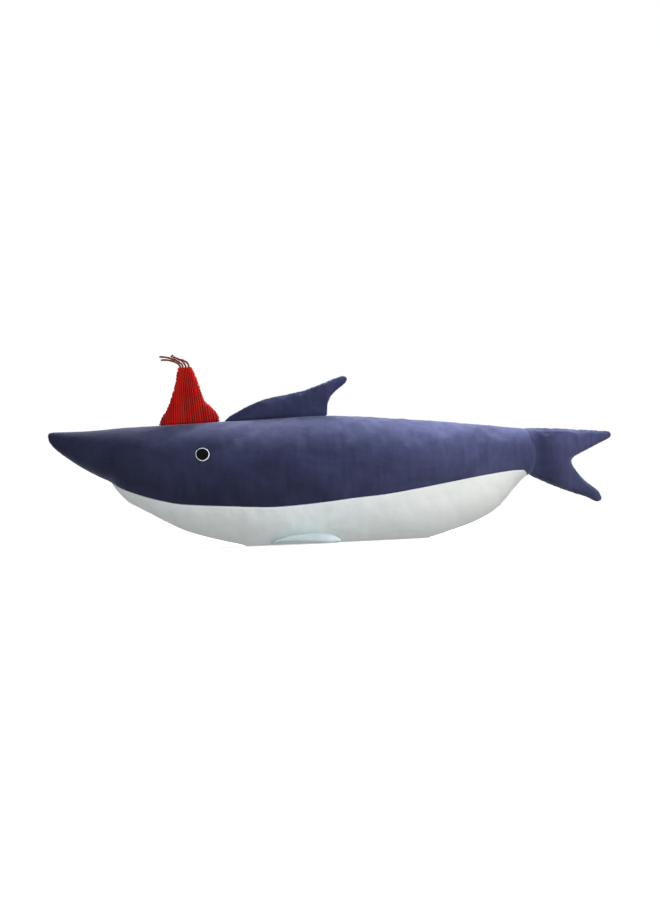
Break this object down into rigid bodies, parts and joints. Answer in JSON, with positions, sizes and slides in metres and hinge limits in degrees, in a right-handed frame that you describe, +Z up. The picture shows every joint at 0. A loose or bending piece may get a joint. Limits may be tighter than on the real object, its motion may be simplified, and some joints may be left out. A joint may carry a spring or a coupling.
{
  "type": "plush shark",
  "caption": "Long stuffed shark toy in navy velour with a pale belly, felt eyes, sewn-on fins and a ribbed red knitted hat with a tuft of strands.",
  "frame": {"origin": "middle of the toy's length and width, on the surface it lies on", "axes": "+Z up, nose towards -X, tail towards +X, the toy's left side towards -Y"},
  "size_m": [0.7888, 0.239, 0.2737],
  "materials": {
    "navy_velour": "short-pile navy velour, matt with a pale sheen at grazing angles",
    "pale_velour": "short-pile pale grey velour, matt",
    "fin_velour": "short-pile pale blue-grey velour, matt",
    "polyester_filling": "white polyester fibre filling, hidden",
    "white_felt": "white wool felt, matt",
    "black_felt": "black wool felt, matt",
    "red_knit": "ribbed red wool knit, matt and slightly fuzzy",
    "strand_yarn": "waxed brown yarn, soft gloss"
  },
  "bodies": {
    "body": {"back_panel_left": "navy_velour", "back_panel_right": "navy_velour", "belly_panel": "pale_velour", "body_filling": "polyester_filling", "eye_white_left": "white_felt", "eye_black_left": "black_felt", "eye_white_right": "white_felt", "eye_black_right": "black_felt"},
    "tail": {"tail_panel_left": "navy_velour", "tail_panel_right": "navy_velour", "tail_filling": "polyester_filling"},
    "dorsal_fin": {"dorsal_panel_left": "navy_velour", "dorsal_panel_right": "navy_velour", "dorsal_filling": "polyester_filling"},
    "pectoral_left": {"pectoral_left_upper": "fin_velour", "pectoral_left_lower": "fin_velour", "pectoral_left_filling": "polyester_filling"},
    "pectoral_right": {"pectoral_right_upper": "fin_velour", "pectoral_right_lower": "fin_velour", "pectoral_right_filling": "polyester_filling"},
    "hat": {"hat_panel_left": "red_knit", "hat_panel_right": "red_knit", "hat_filling": "polyester_filling", "hat_strand_1": "strand_yarn", "hat_strand_2": "strand_yarn", "hat_strand_3": "strand_yarn", "hat_strand_4": "strand_yarn"}
  },
  "joints": [
    {"name": "tail_swing", "type": "hinge", "parent": "body", "child": "tail", "pos_m": [0.298, 0, 0.112], "axis": [0, 0, 1], "range_deg": [-25, 25], "stiffness_Nm_per_rad": 0.15},
    {"name": "dorsal_flop", "type": "hinge", "parent": "body", "child": "dorsal_fin", "pos_m": [-0.069, 0, 0.187], "axis": [1, 0, 0], "range_deg": [-30, 30], "stiffness_Nm_per_rad": 0.08},
    {"name": "pectoral_left_lift", "type": "hinge", "parent": "body", "child": "pectoral_left", "pos_m": [-0.05, -0.058, 0.005], "axis": [-1, 0, 0], "range_deg": [0, 30], "stiffness_Nm_per_rad": 0.05},
    {"name": "pectoral_right_lift", "type": "hinge", "parent": "body", "child": "pectoral_right", "pos_m": [-0.05, 0.058, 0.005], "axis": [1, 0, 0], "range_deg": [0, 30], "stiffness_Nm_per_rad": 0.05},
    {"name": "hat_flop", "type": "hinge", "parent": "body", "child": "hat", "pos_m": [-0.194, 0, 0.1887], "axis": [1, 0, 0], "range_deg": [-25, 25], "stiffness_Nm_per_rad": 0.08}
  ]
}
